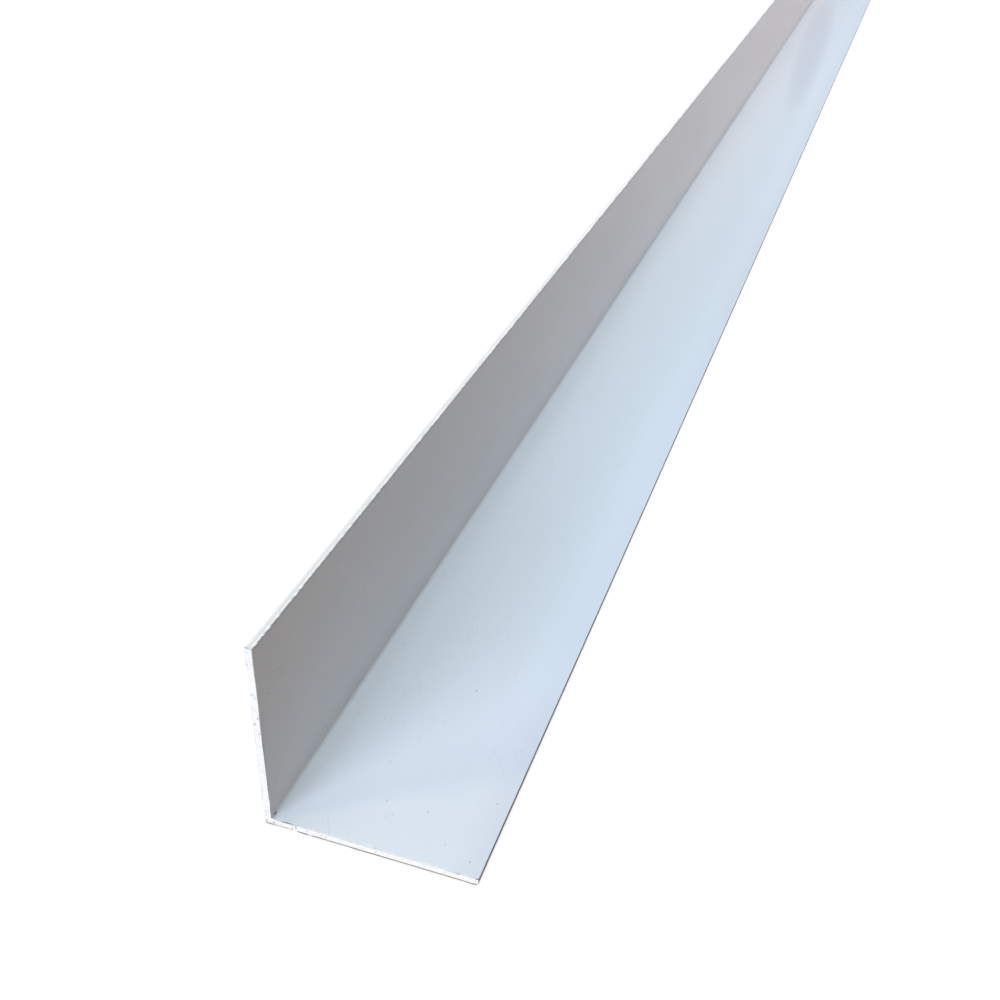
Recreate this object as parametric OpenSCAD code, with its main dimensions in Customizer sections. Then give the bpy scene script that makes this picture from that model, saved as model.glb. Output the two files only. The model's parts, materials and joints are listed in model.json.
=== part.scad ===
// Plain corner bead: a length of extruded rigid PVC angle, sawn square at both ends.
// It lies on its flat leg, along Y, with its upright leg on the -X side.
// The origin is under the middle of the box, on the surface that the bead lies on.

/* [Legs] */
// Width of the leg that lies flat, over its outside
flat_leg = 25; // [15:1:60]
// Height of the upright leg, over its outside
upright_leg = 25; // [15:1:60]
// Thickness of both legs
wall = 0.9; // [0.6:0.1:3]

/* [Stock] */
// Length that the bead is sold in
stock_length = 2400; // [600:100:3600]

/* [Edges] */
// Radius of the fillet in the inside corner, which the die leaves
inside_radius = 0.4; // [0.2:0.1:3]
// Radius of the outside arris, which shows as a crisp line on the finished wall
arris_radius = 0.3; // [0.1:0.05:0.5]
// Radius of the two corners on the free edge of each leg
tip_radius = 0.15; // [0.1:0.05:0.3]

/* [Hidden] */
$fn = 48;
// Half of the wall still leaves a flat between the two corners of a free edge
tip = min(tip_radius, 0.45 * wall);

// A leg from the arris along +X, with both corners of its free edge rounded
module leg(reach) {
    square([reach - tip, wall]);
    translate([reach - 2 * tip, tip])
        square([2 * tip, wall - 2 * tip]);
    for (height = [tip, wall - tip])
        translate([reach - tip, height])
            circle(tip);
}

// The material outside an arc of the given radius, in a corner at the origin that opens to +X and +Y
module corner_fill(radius) {
    difference() {
        square(radius);
        translate([radius, radius])
            circle(radius);
    }
}

// The two legs seen from the near end, the arris at the origin
module section() {
    difference() {
        union() {
            leg(flat_leg);
            mirror([1, -1])
                leg(upright_leg);
            translate([wall, wall])
                corner_fill(inside_radius);
        }
        corner_fill(arris_radius);
    }
}

// The sawn length, stood on its flat leg
module corner_bead() {
    color("#e9f0f6")
        translate([-flat_leg / 2, 0, 0])
            rotate([90, 0, 0])
                linear_extrude(height = stock_length, center = true)
                    section();
}

corner_bead();
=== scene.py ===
import json
import math

import bpy
from mathutils import Euler, Matrix, Vector


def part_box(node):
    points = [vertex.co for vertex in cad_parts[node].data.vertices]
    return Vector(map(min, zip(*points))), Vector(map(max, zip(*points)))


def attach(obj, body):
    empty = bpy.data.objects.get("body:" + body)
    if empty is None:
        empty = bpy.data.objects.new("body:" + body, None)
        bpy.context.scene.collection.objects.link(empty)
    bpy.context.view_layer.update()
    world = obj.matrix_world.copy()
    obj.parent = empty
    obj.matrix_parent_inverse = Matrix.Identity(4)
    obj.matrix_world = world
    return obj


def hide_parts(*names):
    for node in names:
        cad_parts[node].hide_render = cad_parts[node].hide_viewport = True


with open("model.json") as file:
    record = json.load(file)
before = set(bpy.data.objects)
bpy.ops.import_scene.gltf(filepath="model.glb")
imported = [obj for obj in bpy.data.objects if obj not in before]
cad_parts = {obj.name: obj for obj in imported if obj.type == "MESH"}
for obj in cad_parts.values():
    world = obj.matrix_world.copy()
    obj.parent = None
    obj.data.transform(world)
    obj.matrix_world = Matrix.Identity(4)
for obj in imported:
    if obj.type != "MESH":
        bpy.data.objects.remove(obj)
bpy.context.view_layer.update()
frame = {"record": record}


# The bead
# One length of rigid PVC, pushed hot through an L-shaped die and sawn square at both ends. Its faces are
# satin and smooth along the pull. Trimming leaves a groove and a ragged lip on the upright leg's free edge,
# and the saw leaves both ends chalky, with crumbled edges. Sizes are in metres.
bead_low, bead_high = (Vector(corner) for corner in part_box("corner_bead"))
bead_size = bead_high - bead_low
mount_places = {mount["name"]: Vector(mount["pos_m"]) for mount in frame["record"]["mounts"]}
wall = mount_places["flat_leg_inside"].z - bead_low.z
sizes = {
    "Flat leg": bead_size.x,
    "Upright leg": bead_size.z,
    "Length": bead_size.y,
    "Wall": wall,
    "Inside radius": 0.0004,
    "Arris radius": 0.0003,
    "Tip radius": 0.00006,
    "Lower tip radius": 0.0004,
    "Lip width": 0.00018,
    "Lip overhang": 0.00026,
    "Groove depth": 0.00006,
    "Saw depth": 0.00004,
    "Chip depth": 0.0002,
    "Stations across": 56,
    "Layers in wall": 17,
    "Rings along": 660,
    "Seed": 7,
}


def add_node(tree, kind, inputs=None, **settings):
    """One node of this kind. Each input is a value, or the socket that feeds it."""
    node = tree.nodes.new(kind)
    for name, value in settings.items():
        setattr(node, name, value)
    for key, value in (inputs or {}).items():
        if isinstance(value, bpy.types.NodeSocket):
            tree.links.new(value, node.inputs[key])
        else:
            node.inputs[key].default_value = value
    return node


def calc(tree, operation, first, second=0.0, third=0.0):
    """The result of one Math node."""
    operands = {0: first, 1: second, 2: third}
    return add_node(tree, "ShaderNodeMath", operands, operation=operation).outputs[0]


def product(tree, *factors):
    """All the factors multiplied together."""
    result = factors[0]
    for factor in factors[1:]:
        result = calc(tree, "MULTIPLY", result, factor)
    return result


def vector(tree, x=0.0, y=0.0, z=0.0):
    """A vector put together from three values."""
    return add_node(tree, "ShaderNodeCombineXYZ", {"X": x, "Y": y, "Z": z}).outputs[0]


def parts_of(tree, whole):
    """The X, Y and Z of a vector."""
    return add_node(tree, "ShaderNodeSeparateXYZ", {0: whole}).outputs


def ramp(tree, value, low, high):
    """A value that goes smoothly from 0 at low to 1 at high, where low may be the larger one."""
    bounds = {"Value": value, "From Min": low, "From Max": high}
    return add_node(tree, "ShaderNodeMapRange", bounds, interpolation_type="SMOOTHSTEP").outputs["Result"]


def noise(tree, place, scale, detail=2.0):
    """Noise from 0 to 1 at a place, with this many bumps per unit."""
    settings = {"Vector": place, "Scale": scale, "Detail": detail}
    return add_node(tree, "ShaderNodeTexNoise", settings).outputs["Fac"]


def move(tree, mesh, place=None, offset=None):
    """A mesh with its points set to a place, or moved by an offset."""
    inputs = {"Geometry": mesh}
    if place is not None:
        inputs["Position"] = place
    if offset is not None:
        inputs["Offset"] = offset
    return add_node(tree, "GeometryNodeSetPosition", inputs).outputs[0]


def transform(tree, mesh, shift, turn):
    """A mesh turned about the origin, then shifted."""
    inputs = {"Geometry": mesh, "Translation": shift, "Rotation": turn}
    return add_node(tree, "GeometryNodeTransform", inputs).outputs[0]


def store(tree, mesh, name, value, domain="POINT"):
    """A mesh that keeps a value on its points or faces, under a name."""
    inputs = {"Geometry": mesh, "Name": name, "Value": value}
    return add_node(tree, "GeometryNodeStoreNamedAttribute", inputs, domain=domain).outputs[0]


def stored(tree, name):
    """The value that the mesh keeps under a name."""
    return add_node(tree, "GeometryNodeInputNamedAttribute", {"Name": name}).outputs[0]


def to_curve(tree, mesh, **selection):
    """The edges of a mesh as a curve, or those of a selection."""
    return add_node(tree, "GeometryNodeMeshToCurve", {"Mesh": mesh, **selection}).outputs[0]


def bent_line(tree, start, bend, end, radius):
    """A line of the section through three points, rounded at its bend."""
    points_in_bend = 12
    line = add_node(tree, "GeometryNodeMeshLine", {"Count": 3}).outputs[0]
    index = add_node(tree, "GeometryNodeInputIndex").outputs[0]
    place = add_node(tree, "GeometryNodeIndexSwitch", data_type="VECTOR")
    place.index_switch_items.new()
    for number, source in enumerate((index, start, bend, end)):
        tree.links.new(source, place.inputs[number])
    curve = to_curve(tree, move(tree, line, place.outputs[0]))
    bend_settings = {"Curve": curve, "Count": points_in_bend, "Radius": radius}
    return add_node(tree, "GeometryNodeFilletCurve", bend_settings, mode="POLY").outputs[0]


def new_tree(name, inputs):
    """A node tree that makes a mesh, and the sockets of its named inputs, one for each size."""
    tree = bpy.data.node_groups.new(name, "GeometryNodeTree")
    for label, value in inputs.items():
        kind = "NodeSocketInt" if isinstance(value, int) else "NodeSocketFloat"
        tree.interface.new_socket(label, in_out="INPUT", socket_type=kind)
    tree.interface.new_socket("Mesh", in_out="OUTPUT", socket_type="NodeSocketGeometry")
    return tree, tree.nodes.new("NodeGroupInput").outputs


angle, given = new_tree("Extruded angle", sizes)
position = add_node(angle, "GeometryNodeInputPosition").outputs[0]


def crowd_to_ends(tree, even, growth):
    """An even run from -1 to 1, made to crowd ever closer towards both its ends."""
    end_gap = calc(tree, "SUBTRACT", 1.0, calc(tree, "ABSOLUTE", even))
    grown_gap = calc(tree, "SUBTRACT", calc(tree, "EXPONENT", product(tree, end_gap, growth)), 1.0)
    reach = calc(tree, "MULTIPLY_ADD", grown_gap, -1.0 / (math.exp(growth) - 1.0), 1.0)
    return product(tree, calc(tree, "SIGN", even), reach)


# Section, as a strip from the tip of the upright leg, round the corner, to the tip of the flat leg.
# Stations crowd together at both tips and at the corner. Depth runs from the outside face to the inside one.
station_growth = 6.0
outer = bent_line(
    angle,
    vector(angle, 0.0, given["Upright leg"]),
    vector(angle),
    vector(angle, given["Flat leg"]),
    given["Arris radius"],
)
inner = bent_line(
    angle,
    vector(angle, given["Wall"], given["Upright leg"]),
    vector(angle, given["Wall"], given["Wall"]),
    vector(angle, given["Flat leg"], given["Wall"]),
    given["Inside radius"],
)
grid_size = {
    "Size X": 2.0,
    "Size Y": 1.0,
    "Vertices X": given["Stations across"],
    "Vertices Y": given["Layers in wall"],
}
strip = add_node(angle, "GeometryNodeMeshGrid", grid_size).outputs["Mesh"]
grid_place = parts_of(angle, position)
leg_side = calc(angle, "SIGN", grid_place["X"])
on_upright = calc(angle, "LESS_THAN", leg_side, 0.0)
on_flat = calc(angle, "SUBTRACT", 1.0, on_upright)
along_leg = calc(angle, "MULTIPLY_ADD", calc(angle, "ABSOLUTE", grid_place["X"]), 2.0, -1.0)
leg_share = calc(angle, "MULTIPLY_ADD", crowd_to_ends(angle, along_leg, station_growth), 0.5, 0.5)
share = calc(angle, "MULTIPLY_ADD", product(angle, leg_side, leg_share), 0.5, 0.5)
depth = calc(angle, "ADD", grid_place["Y"], 0.5)

# Tips, rounded at both corners. The die leaves the flat leg's lower corner the roundest.
tip_gap = product(angle, calc(angle, "SUBTRACT", 1.0, leg_share), given["Flat leg"])


def corner_inset(radius):
    """How far a corner of this radius draws a tip's face in, as a share of the wall."""
    past_centre = calc(angle, "MAXIMUM", calc(angle, "SUBTRACT", radius, tip_gap), 0.0)
    past_squared = calc(angle, "POWER", past_centre, 2.0)
    radius_squared = calc(angle, "POWER", radius, 2.0)
    half_chord = calc(angle, "SQRT", calc(angle, "SUBTRACT", radius_squared, past_squared))
    return calc(angle, "DIVIDE", calc(angle, "SUBTRACT", radius, half_chord), given["Wall"])


extra_radius = calc(angle, "SUBTRACT", given["Lower tip radius"], given["Tip radius"])
outer_inset = corner_inset(calc(angle, "MULTIPLY_ADD", on_flat, extra_radius, given["Tip radius"]))
inner_inset = corner_inset(given["Tip radius"])
depth_left = calc(angle, "SUBTRACT", calc(angle, "SUBTRACT", 1.0, outer_inset), inner_inset)
rounded_depth = calc(angle, "MULTIPLY_ADD", depth, depth_left, outer_inset)


def on_line(curve):
    """The place at each station's share of a line of the section."""
    sample = {"Curves": curve, "Factor": share}
    return add_node(angle, "GeometryNodeSampleCurve", sample, mode="FACTOR").outputs["Position"]


between = {"Factor": rounded_depth, 4: on_line(outer), 5: on_line(inner)}
place_in_section = add_node(angle, "ShaderNodeMix", between, data_type="VECTOR").outputs[1]

# Upright leg's free edge: level beside the outside face, then down, ever steeper, to the foot of the lip.
# Depths are shares of the wall.
groove_start = 0.28
layer_share = calc(angle, "DIVIDE", 1.0, calc(angle, "SUBTRACT", given["Layers in wall"], 1.0))
lip_top = calc(angle, "SUBTRACT", 1.0, calc(angle, "DIVIDE", given["Lip width"], given["Wall"]))
lip_foot = calc(angle, "SUBTRACT", lip_top, layer_share)
groove_run = calc(angle, "SUBTRACT", lip_foot, groove_start)
down_groove = calc(angle, "DIVIDE", calc(angle, "SUBTRACT", depth, groove_start), groove_run)
down_groove = calc(angle, "MINIMUM", calc(angle, "MAXIMUM", down_groove, 0.0), 1.0)
across_lip = ramp(angle, depth, lip_foot, lip_top)
across_brink = ramp(angle, depth, lip_foot, 1.0)
groove_shape = calc(angle, "SUBTRACT", calc(angle, "POWER", down_groove, 2.0), across_lip)
at_tip = product(angle, on_upright, ramp(angle, tip_gap, given["Lip width"], 0.0))
sunk = product(angle, at_tip, given["Groove depth"], groove_shape)
section_place = parts_of(angle, place_in_section)
grooved = vector(angle, section_place["X"], calc(angle, "SUBTRACT", section_place["Y"], sunk))
marked_strip = store(angle, strip, "lip", product(angle, at_tip, across_lip))
marked_strip = store(angle, marked_strip, "lip_brink", product(angle, at_tip, across_brink))

# Places for the finish: the trimmed edge, a painted shadow under the lip, painted shade on the flat leg's
# free edge, and the section's rim. The shadow's top and bottom are in lip widths below the edge.
lip_shadow_depth = (0.95, 0.99)
lip_shadow_top = 0.3
lip_shadow_bottom = 2.5
lip_shadow_share = 0.45
free_edge_shade_depth = (0.15, 0.55)
no_gap = 1e-6
at_edge = ramp(angle, tip_gap, given["Tip radius"], 0.0)
marked_strip = store(angle, marked_strip, "trimmed", product(angle, on_upright, at_edge))
# Painted shadow on the upright's inside face, in a thin line just under the lip's overhang
painted_lip_shadow = product(
    angle,
    on_upright,
    ramp(angle, depth, *lip_shadow_depth),
    ramp(angle, tip_gap, product(angle, lip_shadow_top, given["Lip width"]), given["Lip width"]),
    ramp(angle, tip_gap, product(angle, lip_shadow_bottom, given["Lip width"]), given["Lip width"]),
)
# Painted shade on the upper part of the flat leg's free edge, which faces away from the light
painted_free_edge_shade = product(angle, on_flat, at_edge, ramp(angle, depth, *free_edge_shade_depth))
painted_edge_shades = calc(angle, "MULTIPLY_ADD", painted_lip_shadow, lip_shadow_share, painted_free_edge_shade)
marked_strip = store(angle, marked_strip, "painted_edge_shades", painted_edge_shades)
face_gap = calc(angle, "MINIMUM", depth, calc(angle, "SUBTRACT", 1.0, depth))
rim_gap = calc(angle, "MINIMUM", face_gap, tip_gap)
marked_strip = store(angle, marked_strip, "rim", calc(angle, "LESS_THAN", rim_gap, no_gap))
section = move(angle, marked_strip, grooved)

# Sweep of the outline along the length, with rings crowded towards both ends, most of them at the near one
near_rings = 0.75
ring_growth = 5.5
faces_beside = add_node(angle, "GeometryNodeInputMeshEdgeNeighbors").outputs[0]
one_face = {2: faces_beside, 3: 1}
is_rim = add_node(angle, "FunctionNodeCompare", one_face, data_type="INT", operation="EQUAL").outputs[0]
outline = to_curve(angle, section, Selection=is_rim)
outline = transform(angle, outline, (0.0, 0.0, 0.0), Euler((math.pi, 0.0, 0.0)))
path_line = add_node(angle, "GeometryNodeMeshLine", {"Count": given["Rings along"]}).outputs[0]
ring = add_node(angle, "GeometryNodeInputIndex").outputs[0]
ring_share = calc(angle, "DIVIDE", ring, calc(angle, "SUBTRACT", given["Rings along"], 1.0))
near_part = calc(angle, "MINIMUM", calc(angle, "DIVIDE", ring_share, near_rings), 1.0)
rings_past = calc(angle, "SUBTRACT", ring_share, near_rings)
far_part = calc(angle, "MAXIMUM", calc(angle, "DIVIDE", rings_past, 1.0 - near_rings), 0.0)
from_middle = calc(angle, "SUBTRACT", calc(angle, "ADD", near_part, far_part), 1.0)
half_length = product(angle, 0.5, given["Length"])
ring_y = product(angle, crowd_to_ends(angle, from_middle, ring_growth), half_length)
path = to_curve(angle, move(angle, path_line, vector(angle, y=ring_y)))
sweep = add_node(angle, "GeometryNodeCurveToMesh", {"Curve": path, "Profile Curve": outline}).outputs[0]

# Sawn ends, as the section stood up at both ends of the sweep
merge_reach = 2e-6
stand_up = Euler((math.pi / 2, 0.0, 0.0))
cap = store(angle, section, "sawn", 1.0, domain="FACE")
near_cap = transform(angle, cap, vector(angle, y=product(angle, -1.0, half_length)), stand_up)
far_cap = transform(angle, cap, vector(angle, y=half_length), stand_up)
far_cap = add_node(angle, "GeometryNodeFlipFaces", {"Mesh": far_cap}).outputs[0]
joined = add_node(angle, "GeometryNodeJoinGeometry", {0: sweep})
for end_cap in (near_cap, far_cap):
    angle.links.new(end_cap, joined.inputs[0])
merging = {"Geometry": joined.outputs[0], "Distance": merge_reach}
closed = add_node(angle, "GeometryNodeMergeByDistance", merging).outputs[0]

# Ragged lip, whose brink hangs over the inside face or falls short of it, with nicks down to the groove
seed_step = 0.37
tears_per_metre = 1500.0
tear_levels = (0.4, 0.6)
nicks_per_metre = 330.0
nick_levels = (0.6, 0.68)
flush_lip = 0.6
body_place = parts_of(angle, position)
seed_shift = product(angle, seed_step, given["Seed"])
along_lip = vector(angle, body_place["Y"], seed_shift)
ragged = ramp(angle, noise(angle, along_lip, tears_per_metre, detail=3.0), *tear_levels)
nicked = ramp(angle, noise(angle, along_lip, nicks_per_metre), *nick_levels)
lip_left = calc(angle, "MULTIPLY", ragged, calc(angle, "SUBTRACT", 1.0, nicked))
past_face = calc(angle, "SUBTRACT", lip_left, flush_lip)
lean = product(angle, stored(angle, "lip_brink"), given["Lip overhang"], past_face)
lip_lost = calc(angle, "SUBTRACT", lip_left, 1.0)
dip = product(angle, stored(angle, "lip"), given["Groove depth"], lip_lost)
lipped = move(angle, closed, offset=vector(angle, lean, 0.0, dip))

# Saw marks on both ends, and crumbs broken out of their edges
end_reach = 1e-5
saw_marks_per_metre = 1500.0
crumbs_per_metre = 1300.0
crumb_levels = (0.45, 0.65)
end_gap = calc(angle, "SUBTRACT", half_length, calc(angle, "ABSOLUTE", body_place["Y"]))
at_end = calc(angle, "LESS_THAN", end_gap, end_reach)
end_side = calc(angle, "SIGN", body_place["Y"])
end_place = vector(angle, body_place["X"], product(angle, end_side, seed_shift), body_place["Z"])
saw_marks = product(angle, given["Saw depth"], noise(angle, end_place, saw_marks_per_metre))
crumbled = ramp(angle, noise(angle, end_place, crumbs_per_metre), *crumb_levels)
crumbs = product(angle, given["Chip depth"], stored(angle, "rim"), crumbled)
sawn_back = product(angle, -1.0, end_side, at_end, calc(angle, "ADD", saw_marks, crumbs))
sawn = move(angle, lipped, offset=vector(angle, 0.0, sawn_back))

# Place on the bead's box, with the arris and other corners kept sharp
sharpest_smooth = math.radians(50.0)
centred = transform(angle, sawn, vector(angle, product(angle, -0.5, given["Flat leg"])), Euler())
edge_angle = add_node(angle, "GeometryNodeInputMeshEdgeAngle").outputs[0]
is_smooth = calc(angle, "LESS_THAN", edge_angle, sharpest_smooth)
smoothing = {"Geometry": centred, "Shade Smooth": is_smooth}
shaded = add_node(angle, "GeometryNodeSetShadeSmooth", smoothing, domain="EDGE").outputs[0]
realized = add_node(angle, "GeometryNodeRealizeInstances", {"Geometry": shaded}).outputs[0]
faces_finish = add_node(angle, "GeometryNodeSetMaterial", {"Geometry": realized})
sawn_faces = {"Geometry": faces_finish.outputs[0], "Selection": stored(angle, "sawn")}
ends_finish = add_node(angle, "GeometryNodeSetMaterial", sawn_faces)
add_node(angle, "NodeGroupOutput", {0: ends_finish.outputs[0]})

# Finishes. Their places and reaches are in millimetres, and their relief is in metres.
mm_per_metre = 1000.0


def new_material(name):
    """An empty material, its node tree and its Principled shader."""
    material = bpy.data.materials.new(name)
    material.use_nodes = True
    tree = material.node_tree
    tree.nodes.clear()
    shader = add_node(tree, "ShaderNodeBsdfPrincipled")
    add_node(tree, "ShaderNodeOutputMaterial", {"Surface": shader.outputs[0]})
    return material, tree, shader


def place_in_millimetres(tree):
    """The three object coordinates of a point, in millimetres."""
    coordinates = add_node(tree, "ShaderNodeTexCoord").outputs["Object"]
    scaling = {0: coordinates, "Scale": mm_per_metre}
    return parts_of(tree, add_node(tree, "ShaderNodeVectorMath", scaling, operation="SCALE").outputs[0])


def mix_colour(tree, share, first, second):
    """The first colour, with the second over it by a share."""
    inputs = {"Factor": share, 6: first, 7: second}
    return add_node(tree, "ShaderNodeMix", inputs, data_type="RGBA").outputs[2]


def scatter_cells(tree, place, cells_per_mm):
    """Cells scattered over a plane: where a place is in its cell, and three random values of that cell."""
    inputs = {"Vector": place, "Scale": cells_per_mm}
    cell = add_node(tree, "ShaderNodeTexVoronoi", inputs, voronoi_dimensions="2D").outputs
    return cell, add_node(tree, "ShaderNodeSeparateColor", {0: cell["Color"]}).outputs


# Dirt specks, scattered one to a cell, each with a ragged outline and a size of its own
wobbles_per_mm = 6.0
wobble_reach = 0.12
full_part = 0.4
faintest = 0.2
specks = bpy.data.node_groups.new("Dirt specks", "ShaderNodeTree")
specks.interface.new_socket("Place", in_out="INPUT", socket_type="NodeSocketVector")
for label in ("Spacing", "Largest", "Share"):
    specks.interface.new_socket(label, in_out="INPUT", socket_type="NodeSocketFloat")
specks.interface.new_socket("Mask", in_out="OUTPUT", socket_type="NodeSocketFloat")
speck_given = specks.nodes.new("NodeGroupInput").outputs
wobbling = {"Vector": speck_given["Place"], "Scale": wobbles_per_mm}
full_wobble = add_node(specks, "ShaderNodeTexNoise", wobbling).outputs["Color"]
shrinking = {0: full_wobble, "Scale": wobble_reach}
wobble = add_node(specks, "ShaderNodeVectorMath", shrinking, operation="SCALE").outputs[0]
shifting = {0: speck_given["Place"], 1: wobble}
ragged_place = add_node(specks, "ShaderNodeVectorMath", shifting, operation="ADD").outputs[0]
cells_per_mm = calc(specks, "DIVIDE", 1.0, speck_given["Spacing"])
cell, cell_random = scatter_cells(specks, ragged_place, cells_per_mm)
size_share = calc(specks, "POWER", cell_random["Red"], 2.0)
speck_size = product(specks, cells_per_mm, speck_given["Largest"], size_share)
speck_edge = ramp(specks, cell["Distance"], speck_size, product(specks, full_part, speck_size))
darkness = calc(specks, "POWER", cell_random["Blue"], 2.0)
speck_strength = calc(specks, "MULTIPLY_ADD", darkness, 1.0 - faintest, faintest)
speck_kept = calc(specks, "LESS_THAN", cell_random["Green"], speck_given["Share"])
add_node(specks, "NodeGroupOutput", {0: product(specks, speck_edge, speck_kept, speck_strength)})


def add_specks(tree, place, spacing, largest, share):
    """The mask of a scatter of dirt specks."""
    inputs = {"Place": place, "Spacing": spacing, "Largest": largest, "Share": share}
    return add_node(tree, "ShaderNodeGroup", inputs, node_tree=specks).outputs["Mask"]


# Drawn faces, white, with faint lines from the die that are noise drawn out along the pull.
# Both legs are developed flat, so that marks run on round the corner.
pvc_white = (0.80, 0.84, 0.87, 1.0)
pvc_shade = (0.77, 0.815, 0.85, 1.0)
mottles_per_mm = 0.05
die_lines_per_mm = 1.6
pull_share = 0.004
satin_pvc, pvc, pvc_shader = new_material("satin_pvc")
spot = place_in_millimetres(pvc)
developed = calc(pvc, "SUBTRACT", spot["X"], spot["Z"])
on_sheet = vector(pvc, developed, spot["Y"])
drawn_out = vector(pvc, developed, product(pvc, pull_share, spot["Y"]))
mottle = noise(pvc, on_sheet, mottles_per_mm, detail=3.0)
die_lines = noise(pvc, drawn_out, die_lines_per_mm, detail=4.0)
shade_share = calc(pvc, "MULTIPLY_ADD", die_lines, 0.5, product(pvc, 0.5, mottle))
colour = mix_colour(pvc, shade_share, pvc_white, pvc_shade)

# Specks, most of them towards both ends
speck_grey = (0.12, 0.13, 0.15, 1.0)
speck_spacing = 1.7
largest_speck = 0.15
few_specks = 0.06
more_at_ends = 0.45
end_zone = (60.0, 8.0)
speck_cover = 0.8
half_length_mm = bead_size.y * mm_per_metre / 2.0
end_distance = calc(pvc, "SUBTRACT", half_length_mm, calc(pvc, "ABSOLUTE", spot["Y"]))
speck_share = calc(pvc, "MULTIPLY_ADD", ramp(pvc, end_distance, *end_zone), more_at_ends, few_specks)
speck_mask = add_specks(pvc, on_sheet, speck_spacing, largest_speck, speck_share)
colour = mix_colour(pvc, product(pvc, speck_cover, speck_mask), colour, speck_grey)


def sum_of_squares(tree, first, second):
    """Two values, each squared, then added."""
    return calc(tree, "ADD", calc(tree, "POWER", first, 2.0), calc(tree, "POWER", second, 2.0))


def soft_spot(tree, place, middle, reach):
    """An oval mark, full at its middle and gone at its reach. All three go across first, then along."""
    shares = []
    for distance, centre, radius in zip(place, middle, reach):
        shares.append(calc(tree, "DIVIDE", calc(tree, "SUBTRACT", distance, centre), radius))
    return ramp(tree, sum_of_squares(tree, *shares), 1.0, 0.0)


# Lint, as faint open curls
curls_per_mm = 0.22
curl_radius = 0.28
curl_edge = (0.07, 0.02)
curls_left = 0.1
curl_cover = 0.14
curl_cell, curl_random = scatter_cells(pvc, on_sheet, curls_per_mm)
curl_offset = {0: on_sheet, 1: curl_cell["Position"]}
off_curl = add_node(pvc, "ShaderNodeVectorMath", curl_offset, operation="SUBTRACT").outputs[0]
from_curl = parts_of(pvc, off_curl)
curl_reach = calc(pvc, "SQRT", sum_of_squares(pvc, from_curl["X"], from_curl["Y"]))
curl_line = ramp(pvc, calc(pvc, "ABSOLUTE", calc(pvc, "SUBTRACT", curl_reach, curl_radius)), *curl_edge)
curl_open = calc(pvc, "LESS_THAN", from_curl["X"], product(pvc, curl_radius, curl_random["Red"]))
curl_kept = calc(pvc, "LESS_THAN", curl_random["Green"], curls_left)
curl_mask = product(pvc, curl_line, curl_open, curl_kept)

# Hairlines where the face was rubbed aslant, in loose patches and at a spot near the flat leg's free edge
rub_slant = 0.6
hairlines_per_mm = 5.0
waves_per_mm = 0.12
hairline_levels = (0.62, 0.7)
patches_per_mm = 0.09
patch_levels = (0.56, 0.7)
rubbed_middle = (20.5, 17.0)
rubbed_reach = (5.0, 9.0)
hairline_cover = 0.09
from_arris = calc(pvc, "SUBTRACT", developed, (bead_low.x - wall) * mm_per_metre)
from_near_end = calc(pvc, "ADD", spot["Y"], half_length_mm)
from_near_arris = (from_arris, from_near_end)
rubbed_across = calc(pvc, "MULTIPLY_ADD", spot["Y"], rub_slant, developed)
rubbed_along = calc(pvc, "MULTIPLY_ADD", developed, -rub_slant, spot["Y"])
hairline_across = product(pvc, hairlines_per_mm, rubbed_across)
hairline_along = product(pvc, waves_per_mm, rubbed_along)
hairlines = noise(pvc, vector(pvc, hairline_across, hairline_along), 1.0, detail=1.0)
rubbed_patch = ramp(pvc, noise(pvc, on_sheet, patches_per_mm, detail=1.0), *patch_levels)
rubbed_spot = soft_spot(pvc, from_near_arris, rubbed_middle, rubbed_reach)
rubbed = calc(pvc, "MAXIMUM", rubbed_patch, rubbed_spot)
hairline_mask = product(pvc, ramp(pvc, hairlines, *hairline_levels), rubbed)
hairline_share = product(pvc, hairline_cover, hairline_mask)
mark_share = calc(pvc, "MULTIPLY_ADD", curl_mask, curl_cover, hairline_share)
colour = mix_colour(pvc, mark_share, colour, speck_grey)

# Grain of dirt in the inside corner behind the near end, a long soft violet-grey patch further along the
# flat leg, and violet-grey darkening towards that leg's free edge
grain_middle = (0.8, 0.75)
grain_reach = (0.2, 0.42)
grain_cover = 0.85
violet_grey = (0.56, 0.57, 0.66, 1.0)
violet_patch_middle = (11.5, 420.0)
violet_patch_reach = (6.5, 125.0)
violet_patch_slant = 0.045
violet_patch_cover = 0.55
edge_band_width = 4.5
edge_band_cover = 0.22
flat_leg_mm = bead_size.x * mm_per_metre
grain = soft_spot(pvc, from_near_arris, grain_middle, grain_reach)
colour = mix_colour(pvc, product(pvc, grain_cover, grain), colour, speck_grey)
violet_patch_along = calc(pvc, "SUBTRACT", from_near_end, violet_patch_middle[1])
violet_patch_across = calc(pvc, "MULTIPLY_ADD", violet_patch_along, violet_patch_slant, from_arris)
violet_patch = soft_spot(pvc, (violet_patch_across, from_near_end), violet_patch_middle, violet_patch_reach)
colour = mix_colour(pvc, product(pvc, violet_patch_cover, violet_patch), colour, violet_grey)
free_edge_band = ramp(pvc, from_arris, flat_leg_mm - edge_band_width, flat_leg_mm)
colour = mix_colour(pvc, product(pvc, edge_band_cover, free_edge_band), colour, violet_grey)

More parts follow.
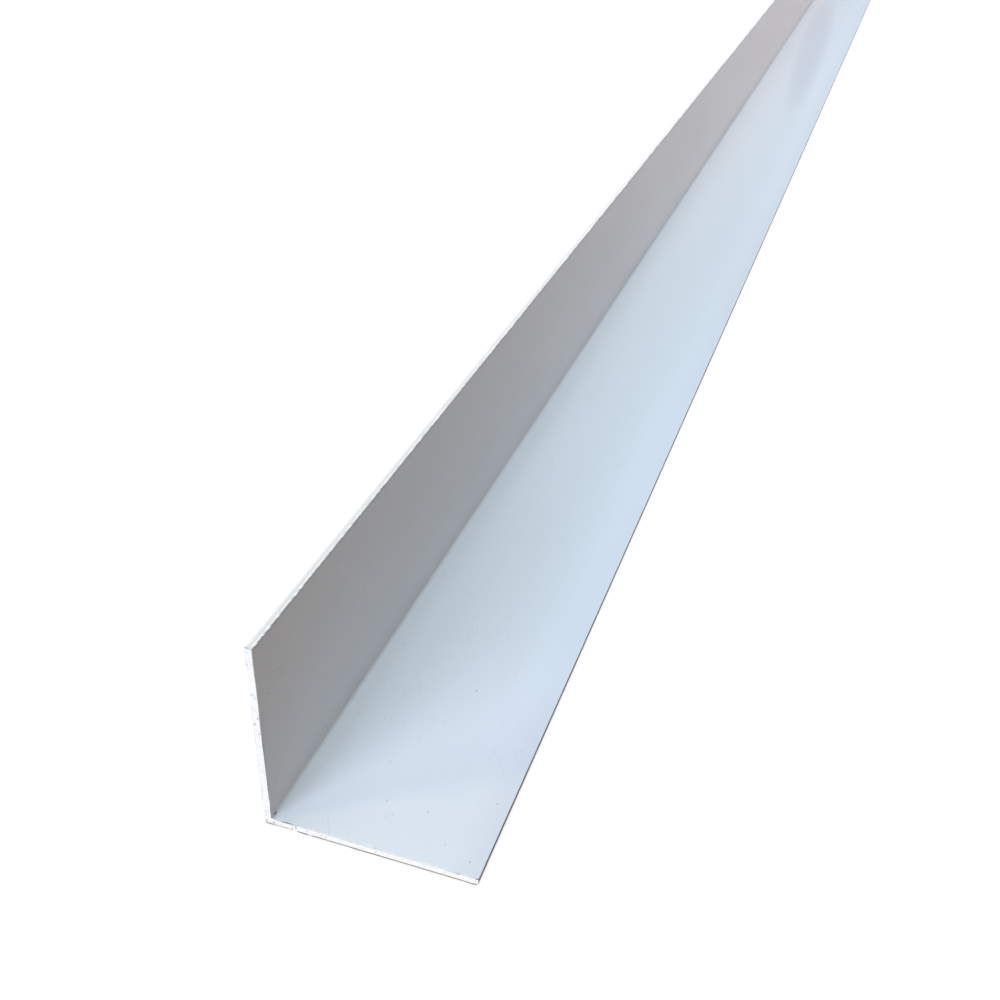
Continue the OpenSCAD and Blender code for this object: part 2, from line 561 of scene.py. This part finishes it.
# Dust settled along the inside corner, where it dulls the fillet, and painted shade that lies thin on the
# flat leg beside the corner, standing in for the dim reflection of the upright leg
corner_shade_grey = (0.50, 0.54, 0.56, 1.0)
face_depth = (-0.5, -0.1)
fillet_dust_width = (0.7, 0.3)
corner_shade_peak = 4.0
corner_shade_width = 12.0
corner_shade_cover = 0.2
past_upright = calc(pvc, "SUBTRACT", spot["X"], (bead_low.x + wall) * mm_per_metre)
above_flat = calc(pvc, "SUBTRACT", spot["Z"], wall * mm_per_metre)
on_inside = ramp(pvc, calc(pvc, "MINIMUM", past_upright, above_flat), *face_depth)
corner_gap = calc(pvc, "MAXIMUM", past_upright, above_flat)
corner_dust = product(pvc, on_inside, ramp(pvc, corner_gap, *fillet_dust_width))
# Painted shade on the flat leg beside the inside corner, rising from the arris to its peak and fading out
corner_shade_rise = ramp(pvc, from_arris, 0.0, corner_shade_peak)
corner_shade_fall = ramp(pvc, from_arris, corner_shade_width, corner_shade_peak)
painted_corner_shade = product(pvc, on_inside, corner_shade_rise, corner_shade_fall)
colour = mix_colour(pvc, product(pvc, corner_shade_cover, painted_corner_shade), colour, corner_shade_grey)

# Edge that was trimmed, left dull and whiter than the drawn faces
trimmed_white = (0.96, 0.92, 0.87, 1.0)
trimmed_mask = add_node(pvc, "ShaderNodeAttribute", attribute_name="trimmed").outputs["Fac"]
colour = mix_colour(pvc, trimmed_mask, colour, trimmed_white)

# Painted shade on the upper corner of the flat leg's free edge, and a painted shadow under the lip
painted_shade_cover = 0.83
painted_shade_mask = add_node(pvc, "ShaderNodeAttribute", attribute_name="painted_edge_shades").outputs["Fac"]
colour = mix_colour(pvc, product(pvc, painted_shade_cover, painted_shade_mask), colour, speck_grey)

# Ragged fringe at both ends, whitened where the saw broke crumbs out
tufts_per_mm = 1.8
tuft_levels = (0.4, 0.75)
longest_tuft = 0.45
fringe_edge = (0.16, 0.02)
fringe_cover = 0.55
tuft = ramp(pvc, noise(pvc, on_sheet, tufts_per_mm, detail=3.0), *tuft_levels)
past_tuft = calc(pvc, "SUBTRACT", end_distance, product(pvc, longest_tuft, tuft))
fringe = ramp(pvc, past_tuft, *fringe_edge)
colour = mix_colour(pvc, product(pvc, fringe_cover, fringe), colour, trimmed_white)
pvc.links.new(colour, pvc_shader.inputs["Base Color"])

# Satin gloss, dulled by trimming, dust and the painted shade at the edges, over relief too fine for the mesh
smoothest = 0.27
mottled_roughness = 0.08
trimmed_dulling = 0.85
dust_dulling = 0.6
dull_roughness = 0.5
full_gloss = 0.5
gloss_lost = 0.45
fine_bumps_per_mm = 3.0
die_line_relief = 0.5
fine_bump_relief = 0.3
relief_height = 0.000004
satin_roughness = calc(pvc, "MULTIPLY_ADD", mottle, mottled_roughness, smoothest)
trimmed_dull = product(pvc, trimmed_dulling, trimmed_mask)
dulled = calc(pvc, "MAXIMUM", trimmed_dull, product(pvc, dust_dulling, corner_dust))
dulled = calc(pvc, "MAXIMUM", dulled, painted_shade_mask)
roughness = calc(pvc, "MULTIPLY_ADD", dulled, dull_roughness, satin_roughness)
pvc.links.new(roughness, pvc_shader.inputs["Roughness"])
gloss = calc(pvc, "MULTIPLY_ADD", dulled, -gloss_lost, full_gloss)
pvc.links.new(gloss, pvc_shader.inputs["Specular IOR Level"])
fine_bumps = product(pvc, fine_bump_relief, noise(pvc, on_sheet, fine_bumps_per_mm))
pvc_relief = calc(pvc, "MULTIPLY_ADD", die_lines, die_line_relief, fine_bumps)
satin_relief = {"Height": pvc_relief, "Distance": relief_height, "Strength": 1.0}
pvc_bump = add_node(pvc, "ShaderNodeBump", satin_relief)
pvc.links.new(pvc_bump.outputs[0], pvc_shader.inputs["Normal"])

# Sawn ends, chalky and clouded, with pits that gather towards the arris
sawn_white = (0.745, 0.765, 0.735, 1.0)
sawn_shade = (0.64, 0.68, 0.675, 1.0)
pit_grey = (0.15, 0.14, 0.125, 1.0)
clouds_per_mm = 1.4
cloud_levels = (0.4, 0.75)
pit_spacing = 0.45
largest_pit = 0.24
few_pits = 0.3
more_at_arris = 0.5
arris_zone_squared = 80.0
pit_cover = 0.85
chalky_pvc, chalk, chalk_shader = new_material("chalky_sawn_pvc")
chalk_spot = place_in_millimetres(chalk)
on_end = vector(chalk, chalk_spot["X"], chalk_spot["Z"])
end_across = calc(chalk, "SUBTRACT", chalk_spot["X"], bead_low.x * mm_per_metre)
from_arris_squared = sum_of_squares(chalk, end_across, chalk_spot["Z"])
clouds = ramp(chalk, noise(chalk, on_end, clouds_per_mm, detail=4.0), *cloud_levels)
chalk_colour = mix_colour(chalk, clouds, sawn_white, sawn_shade)
by_arris = ramp(chalk, from_arris_squared, arris_zone_squared, 0.0)
pit_share = calc(chalk, "MULTIPLY_ADD", by_arris, more_at_arris, few_pits)
pits = add_specks(chalk, on_end, pit_spacing, largest_pit, pit_share)
chalk_colour = mix_colour(chalk, product(chalk, pit_cover, pits), chalk_colour, pit_grey)

# Painted contact shadow, dark brown and broken into patches, along the edge of the sawn ends that lies on
# the floor, thickest away from the arris
contact_shadow_brown = (0.12, 0.11, 0.065, 1.0)
patches_across = 0.5
contact_patches_per_mm = 1.2
unshaded_zone_squared = (10.0, 90.0)
contact_start = 0.38
contact_gain = 0.14
contact_fade = 0.2
contact_shadow_height = (0.27, 0.11)
contact_place = vector(chalk, product(chalk, patches_across, chalk_spot["X"]), 0.0, chalk_spot["Z"])
contact_patch = noise(chalk, contact_place, contact_patches_per_mm, detail=3.0)
off_arris = ramp(chalk, from_arris_squared, *unshaded_zone_squared)
contact_threshold = calc(chalk, "MULTIPLY_ADD", off_arris, -contact_gain, contact_start)
contact_kept = ramp(chalk, contact_patch, contact_threshold, calc(chalk, "ADD", contact_threshold, contact_fade))
painted_contact_shadow = product(chalk, ramp(chalk, chalk_spot["Z"], *contact_shadow_height), contact_kept)
chalk_colour = mix_colour(chalk, painted_contact_shadow, chalk_colour, contact_shadow_brown)
chalk.links.new(chalk_colour, chalk_shader.inputs["Base Color"])
chalk_shader.inputs["Roughness"].default_value = 0.8

# Lines that the saw's teeth left, longest up and down
saw_lines_per_mm = 6.0
saw_line_stretch = 0.1
saw_relief_height = 0.00003
saw_place = vector(chalk, chalk_spot["X"], product(chalk, saw_line_stretch, chalk_spot["Z"]))
saw_lines = noise(chalk, saw_place, saw_lines_per_mm, detail=3.0)
saw_relief = {"Height": saw_lines, "Distance": saw_relief_height, "Strength": 1.0}
chalk_bump = add_node(chalk, "ShaderNodeBump", saw_relief)
chalk.links.new(chalk_bump.outputs[0], chalk_shader.inputs["Normal"])

# The bead itself, grown by the tree and kept as a plain mesh, less the empty material that the grid brings
faces_finish.inputs["Material"].default_value = satin_pvc
ends_finish.inputs["Material"].default_value = chalky_pvc
bead = bpy.data.objects.new("corner_bead_profile", bpy.data.meshes.new("corner_bead_profile"))
bpy.context.scene.collection.objects.link(bead)
growing = bead.modifiers.new("growing", "NODES")
growing.node_group = angle
for item in angle.interface.items_tree:
    if item.in_out == "INPUT":
        growing[item.identifier] = sizes[item.name]
grown = bead.evaluated_get(bpy.context.evaluated_depsgraph_get())
bead.data = bpy.data.meshes.new_from_object(grown)
bead.data.materials.pop(index=0)
bead.modifiers.clear()
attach(bead, "root")
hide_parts("corner_bead")


# Floor
# A wide pale sheet that the bead lies on. It reads as white to the camera and keeps the bead's soft shadow,
# while the light that it throws back up is that of a warm tan board.
floor_half = 6.0
floor_drop = 0.00002
floor_tan = (0.42, 0.32, 0.24, 1.0)
floor_pale = (0.55, 0.55, 0.55, 1.0)
floor_glow = 0.7
floor_level = bead_low.z - floor_drop
sides = ((-1, -1), (1, -1), (1, 1), (-1, 1))
corners = [(x * floor_half, y * floor_half, floor_level) for x, y in sides]
floor_mesh = bpy.data.meshes.new("floor")
floor_mesh.from_pydata(corners, [], [(0, 1, 2, 3)])
floor = bpy.data.objects.new("floor", floor_mesh)
bpy.context.scene.collection.objects.link(floor)
pale_board, board, board_shader = new_material("pale_board")


def seen_directly(tree):
    """One for rays that show a surface to the camera, directly or through gloss or glass."""
    path_kinds = add_node(tree, "ShaderNodeLightPath").outputs
    mirrored = calc(tree, "MAXIMUM", path_kinds["Is Glossy Ray"], path_kinds["Is Transmission Ray"])
    return calc(tree, "MAXIMUM", path_kinds["Is Camera Ray"], mirrored)


board_seen = seen_directly(board)
board.links.new(mix_colour(board, board_seen, floor_tan, floor_pale), board_shader.inputs["Base Color"])
board_shader.inputs["Roughness"].default_value = 0.9
board_shader.inputs["Specular IOR Level"].default_value = 0.0
board_shader.inputs["Emission Color"].default_value = (1.0, 1.0, 1.0, 1.0)
board.links.new(product(board, floor_glow, board_seen), board_shader.inputs["Emission Strength"])
floor_mesh.materials.append(pale_board)


# Light
# Soft studio light: a wide low fill and a warm side glow from the camera's left, lamps over the near end,
# a low warm glow from behind the far end, a faint light on the outside of the upright leg, and a strip that
# lights the rest of the length.
backdrop_white = (1.0, 1.0, 1.0, 1.0)
world = bpy.data.worlds.new("studio")
bpy.context.scene.world = world
world.use_nodes = True
sky = world.node_tree
sky.nodes.clear()
backdrop = add_node(sky, "ShaderNodeBackground", {"Color": backdrop_white, "Strength": seen_directly(sky)})
add_node(sky, "ShaderNodeOutputWorld", {"Surface": backdrop.outputs[0]})


def add_lamp(name, kind, colour, energy):
    """A lamp in the scene, still at the origin and aimed down."""
    data = bpy.data.lights.new(name, kind)
    data.color = colour
    data.energy = energy
    lamp = bpy.data.objects.new(name, data)
    bpy.context.scene.collection.objects.link(lamp)
    return lamp


def towards(heading, height):
    """A direction, in degrees: a heading that turns from the far end to +X, and a height above the floor."""
    turned = math.radians(heading)
    raised = math.radians(height)
    level = math.cos(raised)
    return Vector((math.sin(turned) * level, math.cos(turned) * level, math.sin(raised)))


def add_soft_sun(name, colour, heading, height, spread):
    """An even light from a direction, with a spread in degrees. It lights what faces it by its colour."""
    lamp = add_lamp(name, "SUN", colour, math.pi)
    lamp.data.angle = math.radians(spread)
    lamp.rotation_euler = towards(heading, height).to_track_quat("Z", "Y").to_euler()


disc_width = 0.25
over_near_end = Vector((0.012, bead_low.y, 0.0))


def add_disc(name, colour, height, reach):
    """A round lamp over the near end, a little to the open side. It lights a surface there by its colour."""
    lamp = add_lamp(name, "AREA", colour, 4.0 * math.pi * reach ** 2)
    lamp.data.shape = "DISK"
    lamp.data.size = disc_width
    lamp.location = over_near_end + reach * towards(0.0, height)
    lamp.rotation_euler = towards(0.0, height).to_track_quat("Z", "Y").to_euler()


add_soft_sun("front_fill", (0.99, 1.06, 1.31), heading=202.0, height=12.0, spread=28.0)
add_soft_sun("side_glow", (0.42, 0.35, 0.17), heading=237.0, height=12.0, spread=10.0)
add_soft_sun("outside_fill", (0.15, 0.145, 0.14), heading=270.0, height=30.0, spread=36.0)
add_soft_sun("warm_glow", (0.20, 0.085, 0.025), heading=20.0, height=8.0, spread=36.0)
add_disc("high_lamp", (0.335, 0.378, 0.398), height=75.0, reach=0.6)
add_disc("low_lamp", (0.08, 0.115, 0.155), height=35.0, reach=0.7)
strip_blue = (0.71, 0.83, 0.95)
strip_length = 1.6
strip_width = 0.3
strip_watts_per_metre = 1.75
strip_to_open_side = 0.15
strip_height = 0.5
strip_light = add_lamp("far_strip", "AREA", strip_blue, strip_watts_per_metre * strip_length)
strip_light.data.shape = "RECTANGLE"
strip_light.data.size = strip_width
strip_light.data.size_y = strip_length
strip_light.location = (strip_to_open_side, bead_high.y - strip_length / 2, strip_height)


# Camera
# It looks down on the near end from the open side of the angle, along the length.
camera_lens = 42.86
camera_from_arris = Vector((0.0519, -0.0778, 0.1019))
looks_down = math.radians(33.08)
turned_left = math.radians(18.22)
rolled = math.radians(1.47)
camera_data = bpy.data.cameras.new("camera")
camera_data.lens = camera_lens
camera_data.sensor_width = 36.0
camera_data.clip_start = 0.01
camera_data.clip_end = 100.0
camera = bpy.data.objects.new("camera", camera_data)
aim = Euler((math.pi / 2 - looks_down, 0.0, turned_left)).to_matrix().to_4x4()
stand = Matrix.Translation(bead_low + camera_from_arris)
camera.matrix_world = stand @ aim @ Matrix.Rotation(rolled, 4, "Z")
bpy.context.scene.collection.objects.link(camera)
bpy.context.scene.camera = camera
bpy.context.scene.view_settings.view_transform = "Standard"
